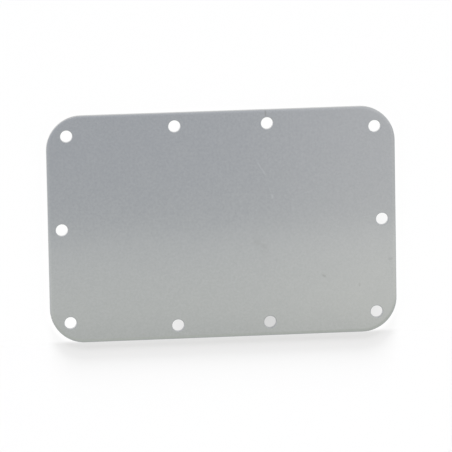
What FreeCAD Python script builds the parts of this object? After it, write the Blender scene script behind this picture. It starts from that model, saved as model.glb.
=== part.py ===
import FreeCAD, Part
import math
import os
import Sketcher
from FreeCAD import Vector

# A flat rectangular cover plate: one blank of aluminium sheet with rounded corners and a
# ring of ten screw holes close to its edges. It lies on its back face. The origin is the
# middle of that face, +X runs along the plate's length, +Y along its width and +Z out of
# its front face.

os.makedirs("parts", exist_ok=True)
doc = FreeCAD.newDocument("plate")

# The driving sizes in millimetres, each with what it measures.
SIZES = [
    ("plate_length", 160.0, "outside, along X"),
    ("plate_width", 105.0, "outside, along Y"),
    ("sheet_thickness", 2.0, "the gauge of the sheet"),
    ("corner_radius", 16.0, "each rounded corner of the outline"),
    ("screw_bore", 5.5, "diameter of every screw hole"),
    ("corner_hole_inset", 9.3, "centre of a corner hole to both edges"),
    ("long_side_hole_inset", 6.3, "centre of a long side's hole to its edge"),
    ("long_side_hole_spacing", 42.5, "between the two holes of a long side"),
    ("short_side_hole_inset", 6.3, "centre of a short side's hole to its edge"),
    ("front_rim_radius", 0.3, "edge rolled over where the punch enters"),
    ("back_rim_chamfer", 0.15, "burr broken off where the punch leaves"),
]

# How far a height may be out, in millimetres, or a volume, as a share of it.
TOLERANCE = 1e-6


def add_sizes():
    """The spreadsheet: one size to a row, as its name, its value and its meaning."""
    sheet = doc.addObject("Spreadsheet::Sheet", "sizes")
    for row, (name, value, meaning) in enumerate(SIZES, start=1):
        sheet.set(f"A{row}", name)
        sheet.set(f"B{row}", str(value))
        sheet.set(f"C{row}", meaning)
        sheet.setAlias(f"B{row}", name)
    doc.recompute()
    return sheet


def origin_plane(role):
    """One of the plate's own three origin planes."""
    return next(item for item in plate.Origin.OriginFeatures if item.Role == role)


def add_sketch(name):
    """An empty sketch on the plate's back face."""
    sketch = plate.newObject("Sketcher::SketchObject", name)
    sketch.AttachmentSupport = [(origin_plane("XY_Plane"), "")]
    sketch.MapMode = "FlatFace"
    return sketch


def dimension(sketch, name, expression, *constraint):
    """A named dimension of a sketch, driven by the spreadsheet."""
    index = sketch.addConstraint(Sketcher.Constraint(*constraint))
    sketch.renameConstraint(index, name)
    sketch.setExpression(f"Constraints.{name}", expression)


def draw_outline(sketch):
    """The blank's outline: four corner arcs, and four sides tangent to them."""
    length = sizes.plate_length
    width = sizes.plate_width
    radius = sizes.corner_radius
    across = length / 2 - radius
    along = width / 2 - radius
    quarter_turn = math.pi / 2
    arcs = []
    for turn, (x, y) in enumerate(((1, 1), (-1, 1), (-1, -1), (1, -1))):
        circle = Part.Circle(Vector(x * across, y * along, 0), Vector(0, 0, 1), radius)
        start = turn * quarter_turn
        arcs.append(sketch.addGeometry(Part.ArcOfCircle(circle, start, start + quarter_turn)))
    first, last, middle = 1, 2, 3
    sides = []
    for turn, arc in enumerate(arcs):
        next_arc = arcs[(turn + 1) % len(arcs)]
        line = Part.LineSegment(sketch.getPoint(arc, last), sketch.getPoint(next_arc, first))
        side = sketch.addGeometry(line)
        sketch.addConstraint(Sketcher.Constraint("Tangent", arc, last, side, first))
        sketch.addConstraint(Sketcher.Constraint("Tangent", side, last, next_arc, first))
        sides.append(side)
    far, left, near, right = sides
    for side in (far, near):
        sketch.addConstraint(Sketcher.Constraint("Horizontal", side))
    for side in (left, right):
        sketch.addConstraint(Sketcher.Constraint("Vertical", side))
    for arc in arcs[1:]:
        sketch.addConstraint(Sketcher.Constraint("Equal", arcs[0], arc))
    origin = (-1, 1)
    sketch.addConstraint(
        Sketcher.Constraint("Symmetric", arcs[0], middle, arcs[2], middle, *origin)
    )
    dimension(sketch, "radius", "sizes.corner_radius", "Radius", arcs[0], radius)
    dimension(
        sketch, "length", "sizes.plate_length", "DistanceX", left, first, right, first, length
    )
    dimension(sketch, "width", "sizes.plate_width", "DistanceY", near, first, far, first, width)


def cut_blank():
    """The blank, cut from the sheet and standing its full thickness above the origin."""
    outline = add_sketch("blank_outline")
    draw_outline(outline)
    blank = plate.newObject("PartDesign::Pad", "blank")
    blank.Profile = outline
    blank.setExpression("Length", "sizes.sheet_thickness")
    doc.recompute()


def punch_holes(name, across, along, mirror_roles):
    """One screw hole punched through the blank, and its mirror images.

    The hole's centre is set out from the plate's two centre lines, so each mirror plane
    doubles the holes.
    """
    sketch = add_sketch(f"{name}_centre")
    rough = Vector(sizes.plate_length / 4, sizes.plate_width / 4, 0)
    bore = sizes.screw_bore
    circle = sketch.addGeometry(Part.Circle(rough, Vector(0, 0, 1), bore / 2))
    origin = (-1, 1)
    centre = (circle, 3)
    dimension(sketch, "bore", "sizes.screw_bore", "Diameter", circle, bore)
    dimension(sketch, "across", across, "DistanceX", *origin, *centre, rough.x)
    if along:
        dimension(sketch, "along", along, "DistanceY", *origin, *centre, rough.y)
    else:
        x_axis = -1
        sketch.addConstraint(Sketcher.Constraint("PointOnObject", *centre, x_axis))
    before = plate.Shape.Volume
    hole = plate.newObject("PartDesign::Pocket", name)
    hole.Profile = sketch
    hole.Type = "ThroughAll"
    hole.Reversed = True
    doc.recompute()
    mirrors = plate.newObject("PartDesign::MultiTransform", f"{name}_images")
    mirrors.Originals = [hole]
    steps = []
    for role in mirror_roles:
        step = plate.newObject("PartDesign::Mirrored", f"{name}_about_{role}")
        step.MirrorPlane = (origin_plane(role), [""])
        steps.append(step)
    mirrors.Transformations = steps
    plate.Tip = mirrors
    doc.recompute()
    punched_out = before - plate.Shape.Volume
    count = 2 ** len(mirror_roles)
    expected = count * math.pi * (bore / 2) ** 2 * sizes.sheet_thickness
    if abs(punched_out - expected) > expected * TOLERANCE:
        raise ValueError(f"{name}: {punched_out} mm3 came out, and {expected} should have")


def rims_at(height):
    """The names of the plate's edges that lie flat at one height: outline and holes."""
    return [
        f"Edge{number}"
        for number, edge in enumerate(plate.Shape.Edges, start=1)
        if all(abs(vertex.Z - height) < TOLERANCE for vertex in edge.Vertexes)
    ]


def finish_rims(kind, name, height, size_property, size_name):
    """A rounding or a chamfer round the outline and every hole, on one face."""
    base = plate.Tip
    rims = rims_at(height)
    finish = plate.newObject(kind, name)
    finish.Base = (base, rims)
    finish.setExpression(size_property, f"sizes.{size_name}")
    doc.recompute()


def check_document():
    """Nothing is written unless every object and the plate's solid are sound."""
    for item in doc.Objects:
        if "Invalid" in item.State or "Error" in item.State:
            raise ValueError(f"{item.Label}: {item.State}")
    shape = plate.Shape
    if shape.isNull() or not shape.isValid() or len(shape.Solids) != 1:
        raise ValueError("the cover plate is not one valid solid")


sizes = add_sizes()
plate = doc.addObject("PartDesign::Body", "cover_plate")
plate.Label = "cover_plate"
doc.recompute()

cut_blank()
punch_holes(
    "corner_holes",
    "sizes.plate_length / 2 - sizes.corner_hole_inset",
    "sizes.plate_width / 2 - sizes.corner_hole_inset",
    ["YZ_Plane", "XZ_Plane"],
)
punch_holes(
    "long_side_holes",
    "sizes.long_side_hole_spacing / 2",
    "sizes.plate_width / 2 - sizes.long_side_hole_inset",
    ["YZ_Plane", "XZ_Plane"],
)
punch_holes(
    "short_side_holes",
    "sizes.plate_length / 2 - sizes.short_side_hole_inset",
    None,
    ["YZ_Plane"],
)
finish_rims(
    "PartDesign::Fillet", "front_rims", sizes.sheet_thickness, "Radius", "front_rim_radius"
)
finish_rims("PartDesign::Chamfer", "back_rims", 0.0, "Size", "back_rim_chamfer")

check_document()
plate.Shape.exportStep(f"parts/{plate.Label}.step")
print(f"{plate.Label}: {plate.Shape.Volume:.1f} mm3, {plate.Shape.BoundBox}")
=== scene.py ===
import math

import bpy
from mathutils import Matrix, Vector


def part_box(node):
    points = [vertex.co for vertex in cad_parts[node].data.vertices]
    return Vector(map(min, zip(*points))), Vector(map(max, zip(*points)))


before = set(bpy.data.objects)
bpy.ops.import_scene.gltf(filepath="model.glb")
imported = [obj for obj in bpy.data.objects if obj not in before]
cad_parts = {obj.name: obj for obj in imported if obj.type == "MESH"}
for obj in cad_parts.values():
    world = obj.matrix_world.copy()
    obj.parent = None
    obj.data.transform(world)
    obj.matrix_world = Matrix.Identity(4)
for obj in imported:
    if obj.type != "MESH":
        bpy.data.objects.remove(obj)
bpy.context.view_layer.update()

# The cover plate is one blank of mill-finish aluminium sheet, punched from the front, so its
# front rims are rolled over, its cut walls have a smooth band above a torn one, and its back
# rims are broken. The CAD node has that shape, and what follows is the metal's finish.
MM = 0.001
CORNER_MM = 16.0

BARE_METAL = (0.470, 0.474, 0.478, 1.0)
DULL_METAL = (0.444, 0.450, 0.454, 1.0)
CUT_METAL = (0.600, 0.605, 0.610, 1.0)
TORN_METAL = (0.450, 0.455, 0.460, 1.0)
SCRATCHED = (0.550, 0.555, 0.560, 1.0)
SOILED = (0.270, 0.265, 0.250, 1.0)

# How large the patches of each pattern are, and how high its relief is.
GRAIN_MM = 1.1
GRAIN_RELIEF_MM = 0.0015
MOTTLE_MM = 4.0
CLOUD_MM = 14.0
WAVE_MM = 45.0
WAVE_RELIEF_MM = 0.02
STREAK_MM = 0.25
STREAK_RELIEF_MM = 0.002
TORN_RELIEF_MM = 0.008

# The roughness of the metal, and what each finish adds to it.
METAL_ROUGHNESS = 0.12
GRAIN_ROUGHNESS = 0.06
CLOUD_ROUGHNESS = 0.04
WALL_ROUGHNESS = 0.08
TORN_ROUGHNESS = 0.10
SCRATCH_ROUGHNESS = 0.05
SOILING_ROUGHNESS = 0.20

# How much the mottle counts beside the grain, and where the two together turn from dull to bare.
MOTTLE_WEIGHT = 0.35
DULL_TO_BARE = (0.38, 0.97)

# Where a rim becomes cut metal and then wall, as its normal leans over from 1, which is flat.
RIM_TO_CUT = (0.80, 0.55)
RIM_TO_WALL = (0.55, 0.35)

# The streaks are drawn out down a wall and move the tear line, which is a height on the wall.
STREAK_DRAW = (1.0, 1.0, 0.12)
TEAR_WANDER_MM = 0.5
SMOOTH_TO_TORN_MM = (1.50, 1.30)

# The roll-over next to the outline: its width, its depth, and the heights where it sets in.
ROLL_WIDTH_MM = 1.6
ROLL_DEPTH_MM = 0.16
BACK_TO_FRONT_MM = (1.2, 1.6)

# The photographed marks on the front face: two ends, the half width and how strong it is.
SCRATCHES = (
    ((16.7, 28.0), (19.7, 23.0), 0.60, 0.34),
    ((11.8, 39.6), (14.3, 35.9), 0.40, 0.14),
    ((14.3, 35.9), (16.7, 28.0), 0.40, 0.11),
    ((19.7, 23.0), (21.6, 16.6), 0.40, 0.11),
    ((21.6, 16.6), (23.4, 12.0), 0.50, 0.18),
    ((23.0, 12.7), (23.3, 11.8), 0.90, 0.42),
    ((32.6, 10.6), (33.0, 10.3), 0.80, 0.26),
    ((32.4, 6.8), (32.6, 6.3), 0.80, 0.26),
    ((34.4, 12.0), (47.8, 16.7), 0.45, 0.12),
)
SOILING = (
    ((46.1, -25.4), (46.9, -25.8), 0.85, 0.29),
    ((62.8, -30.0), (62.9, -30.8), 0.80, 0.16),
    ((20.62, 51.8), (20.60, 50.0), 0.70, 0.42),
    ((77.0, -18.9), (77.7, -18.8), 1.20, 0.16),
    ((15.2, -8.9), (16.2, -9.2), 1.60, 0.08),
    ((18.9, -10.6), (20.0, -11.2), 1.90, 0.08),
    ((16.0, -7.5), (19.5, -15.5), 4.20, 0.045),
    ((7.6, -10.4), (9.0, -10.5), 1.00, 0.05),
    ((23.6, -17.2), (25.4, -17.6), 1.20, 0.05),
)

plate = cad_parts["cover_plate"]
plate_low, plate_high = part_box("cover_plate")
thickness_mm = (plate_high.z - plate_low.z) / MM


def add_node(tree, kind, name, **inputs):
    """A node with its name shown, and its inputs set or linked by their socket names."""
    node = tree.nodes.new(kind)
    node.name = node.label = name
    for socket, value in inputs.items():
        feed(tree, node.inputs[socket.replace("_", " ")], value)
    return node


def feed(tree, socket, value):
    """Links a socket to another node's output, or sets it to a plain value."""
    if isinstance(value, bpy.types.NodeSocket):
        tree.links.new(value, socket)
    else:
        socket.default_value = value


def math_node(tree, name, operation, *values, clamp=False):
    """One step of arithmetic, as the output it gives."""
    node = add_node(tree, "ShaderNodeMath", name)
    node.operation = operation
    node.use_clamp = clamp
    for socket, value in zip(node.inputs, values):
        feed(tree, socket, value)
    return node.outputs[0]


def vector_node(tree, name, operation, *values):
    """One step of vector arithmetic, as the node."""
    node = add_node(tree, "ShaderNodeVectorMath", name)
    node.operation = operation
    for socket, value in zip(node.inputs, values):
        feed(tree, socket, value)
    return node


def ramp_between(tree, name, value, low, high, out_low=0.0, out_high=1.0):
    """A smooth rise from out_low to out_high while the value goes from low to high."""
    node = add_node(tree, "ShaderNodeMapRange", name, Value=value)
    node.interpolation_type = "SMOOTHSTEP"
    node.inputs["From Min"].default_value = low
    node.inputs["From Max"].default_value = high
    node.inputs["To Min"].default_value = out_low
    node.inputs["To Max"].default_value = out_high
    return node.outputs["Result"]


def mix_colour(tree, name, share, first, second):
    """One colour laid over another by a share from 0 to 1."""
    node = add_node(tree, "ShaderNodeMix", name)
    node.data_type = "RGBA"
    share_socket, first_socket, second_socket = (node.inputs[index] for index in (0, 6, 7))
    feed(tree, share_socket, share)
    feed(tree, first_socket, first)
    feed(tree, second_socket, second)
    return node.outputs[2]


def noise(tree, name, place, size_mm, detail, roughness=0.5):
    """A cloudy pattern whose patches are about size_mm across, on a place in millimetres."""
    node = add_node(
        tree,
        "ShaderNodeTexNoise",
        name,
        Vector=place,
        Scale=1.0 / size_mm,
        Detail=detail,
        Roughness=roughness,
    )
    return node.outputs["Fac"]


def place_in_mm(tree):
    """Where the surface is on the object, in millimetres."""
    coordinates = add_node(tree, "ShaderNodeTexCoord", "coordinates")
    place = vector_node(tree, "place in mm", "SCALE", coordinates.outputs["Object"])
    place.inputs["Scale"].default_value = 1.0 / MM
    return place.outputs[0]


def make_hairline_group():
    """A mask for one straight mark: 1 on the line From-To and 0 at Width away from it."""
    group = bpy.data.node_groups.new("hairline", "ShaderNodeTree")
    for name in ("Place", "From", "To"):
        group.interface.new_socket(name, in_out="INPUT", socket_type="NodeSocketVector")
    group.interface.new_socket("Width", in_out="INPUT", socket_type="NodeSocketFloat")
    group.interface.new_socket("Mask", in_out="OUTPUT", socket_type="NodeSocketFloat")
    given = group.nodes.new("NodeGroupInput").outputs
    to_place = vector_node(group, "start to place", "SUBTRACT", given["Place"], given["From"])
    to_end = vector_node(group, "start to end", "SUBTRACT", given["To"], given["From"])
    along = vector_node(group, "along", "DOT_PRODUCT", to_place.outputs[0], to_end.outputs[0])
    whole = vector_node(group, "whole", "DOT_PRODUCT", to_end.outputs[0], to_end.outputs[0])
    share = math_node(
        group, "share", "DIVIDE", along.outputs["Value"], whole.outputs["Value"], clamp=True
    )
    nearest = vector_node(group, "nearest", "SCALE", to_end.outputs[0])
    feed(group, nearest.inputs["Scale"], share)
    away = vector_node(group, "away", "DISTANCE", to_place.outputs[0], nearest.outputs[0])
    near = math_node(group, "near", "DIVIDE", away.outputs["Value"], given["Width"])
    mask = ramp_between(group, "mask", near, 1.0, 0.0)
    out = group.nodes.new("NodeGroupOutput")
    group.links.new(mask, out.inputs["Mask"])
    return group


def make_inset_group():
    """How far a place is inside the plate's outline, in millimetres, and less than 0 outside."""
    group = bpy.data.node_groups.new("inset", "ShaderNodeTree")
    group.interface.new_socket("Place", in_out="INPUT", socket_type="NodeSocketVector")
    group.interface.new_socket("Inset", in_out="OUTPUT", socket_type="NodeSocketFloat")
    given = group.nodes.new("NodeGroupInput").outputs["Place"]
    quarter = vector_node(group, "one quarter", "ABSOLUTE", given)
    flat = vector_node(group, "flat", "MULTIPLY", quarter.outputs[0], (1.0, 1.0, 0.0))
    corner = (plate_high.x / MM - CORNER_MM, plate_high.y / MM - CORNER_MM, 0.0)
    past = vector_node(group, "past the corner's centre", "SUBTRACT", flat.outputs[0], corner)
    beyond = vector_node(group, "beyond it", "MAXIMUM", past.outputs[0], (0.0, 0.0, 0.0))
    reach = vector_node(group, "reach", "LENGTH", beyond.outputs[0])
    parts = add_node(group, "ShaderNodeSeparateXYZ", "parts", Vector=past.outputs[0])
    short_of = math_node(group, "larger part", "MAXIMUM", parts.outputs["X"], parts.outputs["Y"])
    short_of = math_node(group, "short of it", "MINIMUM", short_of, 0.0)
    outside = math_node(group, "out from it", "ADD", reach.outputs["Value"], short_of)
    inset = math_node(group, "in from the outline", "SUBTRACT", CORNER_MM, outside)
    out = group.nodes.new("NodeGroupOutput")
    group.links.new(inset, out.inputs["Inset"])
    return group


hairline_group = make_hairline_group()
inset_group = make_inset_group()


def hairline(tree, name, place, start, end, width):
    """The mask of one straight mark, from its two ends and its half width in millimetres."""
    node = add_node(tree, "ShaderNodeGroup", name)
    node.node_tree = hairline_group
    feed(tree, node.inputs["Place"], place)
    node.inputs["From"].default_value = (*start, thickness_mm)
    node.inputs["To"].default_value = (*end, thickness_mm)
    node.inputs["Width"].default_value = width
    return node.outputs["Mask"]


def inset_of(tree, place):
    """How far a place is inside the plate's outline."""
    node = add_node(tree, "ShaderNodeGroup", "inset")
    node.node_tree = inset_group
    feed(tree, node.inputs["Place"], place)
    return node.outputs["Inset"]


def make_sheet_metal():
    """Mill-finish aluminium sheet, with its cut walls and the photographed marks."""
    material = bpy.data.materials.new("sheet_metal")
    material.use_nodes = True
    tree = material.node_tree
    shader = tree.nodes["Principled BSDF"]
    shader.inputs["Metallic"].default_value = 1.0
    place = place_in_mm(tree)
    height = add_node(tree, "ShaderNodeSeparateXYZ", "height", Vector=place).outputs["Z"]

    grain = noise(tree, "grain", place, GRAIN_MM, 1.0)
    mottle = noise(tree, "mottle", place, MOTTLE_MM, 2.0)
    cloud = noise(tree, "cloud", place, CLOUD_MM, 3.0)
    wave = noise(tree, "wave", place, WAVE_MM, 1.0)
    speckle = math_node(tree, "speckle", "MULTIPLY_ADD", mottle, MOTTLE_WEIGHT, grain)
    bare = ramp_between(tree, "bare share", speckle, *DULL_TO_BARE)
    colour = mix_colour(tree, "grain colour", bare, DULL_METAL, BARE_METAL)
    rough = math_node(
        tree, "grain roughness", "MULTIPLY_ADD", grain, GRAIN_ROUGHNESS, METAL_ROUGHNESS
    )
    rough = math_node(tree, "cloud roughness", "MULTIPLY_ADD", cloud, CLOUD_ROUGHNESS, rough)
    for marks, mark_name, mark_colour, mark_rough in (
        (SCRATCHES, "scratch", SCRATCHED, SCRATCH_ROUGHNESS),
        (SOILING, "soiling", SOILED, SOILING_ROUGHNESS),
    ):
        for number, (start, end, width, strength) in enumerate(marks, start=1):
            name = f"{mark_name} {number}"
            mask = hairline(tree, name, place, start, end, width)
            mask = math_node(tree, f"{name} share", "MULTIPLY", mask, strength)
            colour = mix_colour(tree, f"{name} colour", mask, colour, mark_colour)
            rough = math_node(tree, f"{name} roughness", "MULTIPLY_ADD", mask, mark_rough, rough)

    # The cut walls: streaked along the punch's travel, and torn below the smooth band.
    facing = add_node(tree, "ShaderNodeTexCoord", "facing").outputs["Normal"]
    facing = add_node(tree, "ShaderNodeSeparateXYZ", "facing parts", Vector=facing).outputs["Z"]
    facing = math_node(tree, "up or down", "ABSOLUTE", facing)
    wall = ramp_between(tree, "cut wall", facing, *RIM_TO_WALL)
    drawn = vector_node(tree, "drawn down", "MULTIPLY", place, STREAK_DRAW).outputs[0]
    streak = noise(tree, "streak", drawn, STREAK_MM, 2.0, roughness=0.7)
    tear = math_node(tree, "tear line", "MULTIPLY_ADD", streak, TEAR_WANDER_MM, height)
    torn = ramp_between(tree, "torn", tear, *SMOOTH_TO_TORN_MM)
    torn = math_node(tree, "torn wall", "MULTIPLY", torn, wall)
    cut = ramp_between(tree, "cut metal", facing, *RIM_TO_CUT)
    colour = mix_colour(tree, "cut colour", cut, colour, CUT_METAL)
    colour = mix_colour(tree, "torn colour", torn, colour, TORN_METAL)
    rough = math_node(tree, "wall roughness", "MULTIPLY_ADD", wall, WALL_ROUGHNESS, rough)
    rough = math_node(tree, "torn roughness", "MULTIPLY_ADD", torn, TORN_ROUGHNESS, rough)
    feed(tree, shader.inputs["Base Color"], colour)
    feed(tree, shader.inputs["Roughness"], rough)

    streak_depth = math_node(
        tree, "streak depth", "MULTIPLY_ADD", torn, TORN_RELIEF_MM * MM, STREAK_RELIEF_MM * MM
    )
    streak_depth = math_node(tree, "wall streak depth", "MULTIPLY", streak_depth, wall)
    relief = math_node(tree, "grain relief", "MULTIPLY", grain, GRAIN_RELIEF_MM * MM)
    relief = math_node(tree, "wave relief", "MULTIPLY_ADD", wave, WAVE_RELIEF_MM * MM, relief)
    relief = math_node(tree, "streak relief", "MULTIPLY_ADD", streak, streak_depth, relief)
    rolled = inset_of(tree, place)
    rolled = math_node(tree, "short of the flat", "DIVIDE", rolled, ROLL_WIDTH_MM, clamp=True)
    rolled = math_node(tree, "rolled", "SUBTRACT", 1.0, rolled)
    rolled = math_node(tree, "rolled down", "POWER", rolled, 2.0)
    front = ramp_between(tree, "front half", height, *BACK_TO_FRONT_MM)
    rolled = math_node(tree, "rolled at the front", "MULTIPLY", rolled, front)
    relief = math_node(
        tree, "rolled relief", "MULTIPLY_ADD", rolled, -ROLL_DEPTH_MM * MM, relief
    )
    bump = add_node(tree, "ShaderNodeBump", "relief", Height=relief, Strength=1.0, Distance=1.0)
    feed(tree, shader.inputs["Normal"], bump.outputs["Normal"])
    return material


plate.data.materials.clear()
plate.data.materials.append(make_sheet_metal())

# The floor is plain white paper. Part of what the camera and the metal see of it is bright of
# itself, so that it stays white, and the rest is lit, so that it keeps the plate's shadow.
# Under the plate all of it is bright, which is painted light over the shade in the holes, with
# one soft patch of painted shade behind the near holes.
FLOOR_SIZE = 12.0
PAPER_COLOUR = (0.783, 0.752, 0.730, 1.0)
NO_COLOUR = (0.0, 0.0, 0.0, 1.0)

# The bright share beside the plate: in the shadow, in the open, and what is added right next
# to the plate. The first gives way to the second over a stretch of Y just past the near side.
# The larger share in the open and the share added next to the plate are painted light, which
# takes out most of the plate's shadow and contact shade there.
SHADOW_SHARE = 0.25
PAINTED_LIGHT_OPEN_SHARE = 0.8
PAINTED_LIGHT_CLOSE_SHARE = 0.26
SHADOW_TO_OPEN_MM = (-53.5, -51.5)
BESIDE_TO_CLOSE_MM = (-3.4, 0.0)
CLOSE_TO_UNDER_MM = (1.0, 2.0)

# The patch of painted shade under the plate, seen through the near holes: its middle, how
# bright that is, and where the patch is evenly dark and where it ends.
PAINTED_SHADE_CENTRE_MM = (25.0, -46.0, 0.0)
PAINTED_SHADE_LEVEL = 0.68
PAINTED_SHADE_REACH_MM = (8.0, 88.0)

bpy.ops.mesh.primitive_plane_add(size=FLOOR_SIZE, location=(0, 0, plate_low.z))
floor = bpy.context.object
floor.name = "floor"


def rays_to_white(tree):
    """1 for the rays that see the studio as white paper, and 0 for the light on it."""
    path = add_node(tree, "ShaderNodeLightPath", "path")
    seen = path.outputs["Is Camera Ray"]
    for kind in ("Is Glossy Ray", "Is Transmission Ray"):
        seen = math_node(tree, f"or {kind}", "ADD", seen, path.outputs[kind], clamp=True)
    return seen


def make_paper():
    """White paper, lit by the lamps in the open and bright under the plate: painted light beside,
    next to and under the plate, and a patch of painted shade under it.
    """
    material = bpy.data.materials.new("white_paper")
    material.use_nodes = True
    tree = material.node_tree
    shader = tree.nodes["Principled BSDF"]
    shader.inputs["Roughness"].default_value = 1.0
    shader.inputs["Specular IOR Level"].default_value = 0.0
    shader.inputs["Emission Strength"].default_value = 1.0
    place = place_in_mm(tree)
    inset = inset_of(tree, place)
    under = ramp_between(tree, "under the plate", inset, *CLOSE_TO_UNDER_MM)

    # How bright the bright part is: less in a patch of painted shade behind the near holes.
    away = vector_node(tree, "away from the shade", "DISTANCE", place, PAINTED_SHADE_CENTRE_MM)
    away = away.outputs["Value"]
    shade = ramp_between(tree, "shade", away, *PAINTED_SHADE_REACH_MM, PAINTED_SHADE_LEVEL, 1.0)
    less = math_node(tree, "less in the shade", "SUBTRACT", shade, 1.0)
    level = math_node(tree, "brightness", "MULTIPLY_ADD", under, less, 1.0)

    # How much of the paper is the bright part, and how much is lit. The bright share is painted
    # light where it rises beside, next to and under the plate.
    across = add_node(tree, "ShaderNodeSeparateXYZ", "across", Vector=place).outputs["Y"]
    beside = ramp_between(
        tree, "share in the open", across, *SHADOW_TO_OPEN_MM, SHADOW_SHARE, PAINTED_LIGHT_OPEN_SHARE
    )
    close = ramp_between(tree, "close to the plate", inset, *BESIDE_TO_CLOSE_MM, 0.0, PAINTED_LIGHT_CLOSE_SHARE)
    beside = math_node(tree, "share beside", "ADD", beside, close, clamp=True)
    more = math_node(tree, "more under the plate", "SUBTRACT", 1.0, beside)
    share = math_node(tree, "bright share", "MULTIPLY_ADD", under, more, beside)
    share = math_node(tree, "seen share", "MULTIPLY", share, rays_to_white(tree))
    lit = mix_colour(tree, "lit part", share, PAPER_COLOUR, NO_COLOUR)
    bright = math_node(tree, "bright part", "MULTIPLY", share, level)
    feed(tree, shader.inputs["Base Color"], lit)
    feed(tree, shader.inputs["Emission Color"], bright)
    return material


floor.data.materials.append(make_paper())

# The studio is a pale, slightly cool room. The rolled rims mirror its walls: brighter ones on
# the far and left sides, and one on the near side that is about as bright as the ceiling.
ROOM = (0.706, 0.734, 0.787, 1.0)
# Each wall: its colour, the way to it, and how far that way it starts and is fully there.
WALLS = {
    "far wall": ((0.94, 0.97, 1.01, 1.0), (0.3, 0.95, 0.0), (-0.1, 0.4)),
    "left wall": ((0.83, 0.86, 0.91, 1.0), (-1.0, 0.0, 0.0), (-0.02, 0.25)),
    "near wall": ((0.67, 0.71, 0.75, 1.0), (0.0, -1.0, 0.0), (0.22, 0.36)),
}

world = bpy.data.worlds.new("studio")
bpy.context.scene.world = world
world.use_nodes = True
room_tree = world.node_tree
room_tree.nodes.clear()
room_way = add_node(room_tree, "ShaderNodeTexCoord", "way").outputs["Generated"]
room_colour = ROOM
for wall, (wall_colour, towards, rise) in WALLS.items():
    lean = vector_node(room_tree, f"towards {wall}", "DOT_PRODUCT", room_way, towards)
    wall_share = ramp_between(room_tree, f"{wall} share", lean.outputs["Value"], *rise)
    room_colour = mix_colour(room_tree, wall, wall_share, room_colour, wall_colour)
room_light = add_node(
    room_tree, "ShaderNodeBackground", "room", Color=room_colour, Strength=1.0
)
add_node(room_tree, "ShaderNodeOutputWorld", "out", Surface=room_light.outputs[0])

# Three soft cards hang over the plate and are mirrored in it: a large warm one to the right, a
# narrow one that ends along the plate's middle, and a wide faint one over the near half. Two
# low soft lamps on the far side give the floor its shadow.

# How far sideways the camera sees in the front face, for each metre of height over it.
MIRROR_X = 0.1059
MIRROR_Y = -0.1789
LOW_COLOUR = (0.95, 1.0, 1.05)


def add_card(name, height, x_range, y_range, colour, radiance):
    """A softbox facing down, from the stretch of the plate that mirrors it, in metres."""
    lamp = bpy.data.lights.new(name, "AREA")
    lamp.shape = "RECTANGLE"
    lamp.size = x_range[1] - x_range[0]
    lamp.size_y = y_range[1] - y_range[0]
    lamp.color = colour
    lamp.energy = radiance * math.pi * lamp.size * lamp.size_y
    card = bpy.data.objects.new(name, lamp)
    bpy.context.scene.collection.objects.link(card)
    card.location = (
        (x_range[0] + x_range[1]) / 2 + MIRROR_X * height,
        (y_range[0] + y_range[1]) / 2 + MIRROR_Y * height,
        plate_high.z + height,
    )
    card.visible_camera = False


add_card(
    "right card",
    height=1.6,
    x_range=(0.0624, 1.017),
    y_range=(-0.117, 1.300),
    colour=(1.0, 0.920, 0.801),
    radiance=0.200,
)
add_card(
    "near card",
    height=0.182,
    x_range=(-0.300, 0.300),
    y_range=(-0.050, -0.0035),
    colour=(1.0, 0.976, 0.887),
    radiance=0.132,
)
add_card(
    "soft card",
    height=1.49,
    x_range=(-1.200, 1.200),
    y_range=(-1.200, -0.0319),
    colour=(1.0, 0.972, 0.310),
    radiance=0.159,
)


def add_low_lamp(name, elevation, angle, energy):
    """A soft lamp on the far side, which lights the floor and isn't mirrored in the metal."""
    lamp = bpy.data.lights.new(name, "SUN")
    lamp.angle = math.radians(angle)
    lamp.energy = energy
    lamp.color = LOW_COLOUR
    low_lamp = bpy.data.objects.new(name, lamp)
    bpy.context.scene.collection.objects.link(low_lamp)
    low_lamp.rotation_euler = (math.radians(elevation - 90.0), 0.0, 0.0)
    low_lamp.visible_glossy = False


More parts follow.
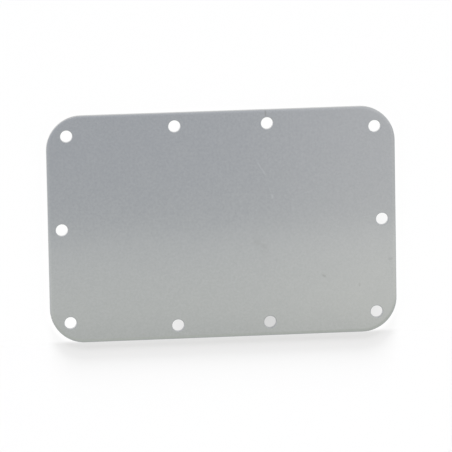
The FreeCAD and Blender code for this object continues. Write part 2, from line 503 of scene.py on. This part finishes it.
add_low_lamp("lower lamp", elevation=8.8, angle=11.6, energy=4.94)
add_low_lamp("upper lamp", elevation=24.3, angle=28.0, energy=1.50)

# The camera has a long lens and looks down on the plate at the photograph's angle: from a
# little to the left, and tipped back towards the far long side.
FRAME_PIXELS = 452
FOCAL_PIXELS = 4933.6
SENSOR_MM = 36.0
CAMERA_YAW = math.radians(6.047)
CAMERA_PITCH = math.radians(10.087)
CAMERA_ROLL = math.radians(-1.03)
CAMERA_DISTANCE = 2.25765
PLATE_CENTRE_PIXEL = (222.553, 224.600)

sin_yaw, cos_yaw = math.sin(CAMERA_YAW), math.cos(CAMERA_YAW)
sin_pitch, cos_pitch = math.sin(CAMERA_PITCH), math.cos(CAMERA_PITCH)
sin_roll, cos_roll = math.sin(CAMERA_ROLL), math.cos(CAMERA_ROLL)
sight = Vector((sin_yaw * cos_pitch, -sin_pitch, -cos_yaw * cos_pitch))
level = Vector((cos_yaw, 0.0, sin_yaw))
upright = Vector((sin_yaw * sin_pitch, cos_pitch, -cos_yaw * sin_pitch))
camera_right = cos_roll * level + sin_roll * upright
camera_up = cos_roll * upright - sin_roll * level
pixel_at_plate = CAMERA_DISTANCE / FOCAL_PIXELS
offset_right = (PLATE_CENTRE_PIXEL[0] - FRAME_PIXELS / 2) * pixel_at_plate
offset_up = (FRAME_PIXELS / 2 - PLATE_CENTRE_PIXEL[1]) * pixel_at_plate

lens = bpy.data.cameras.new("camera")
lens.sensor_width = SENSOR_MM
lens.lens = SENSOR_MM * FOCAL_PIXELS / FRAME_PIXELS
camera = bpy.data.objects.new("camera", lens)
bpy.context.scene.collection.objects.link(camera)
front_centre = Vector((0.0, 0.0, plate_high.z))
stand = (
    front_centre
    - sight * CAMERA_DISTANCE
    - camera_right * offset_right
    - camera_up * offset_up
)
turned = Matrix((camera_right, camera_up, -sight)).transposed().to_4x4()
camera.matrix_world = Matrix.Translation(stand) @ turned
bpy.context.scene.camera = camera
bpy.context.scene.view_settings.view_transform = "Standard"
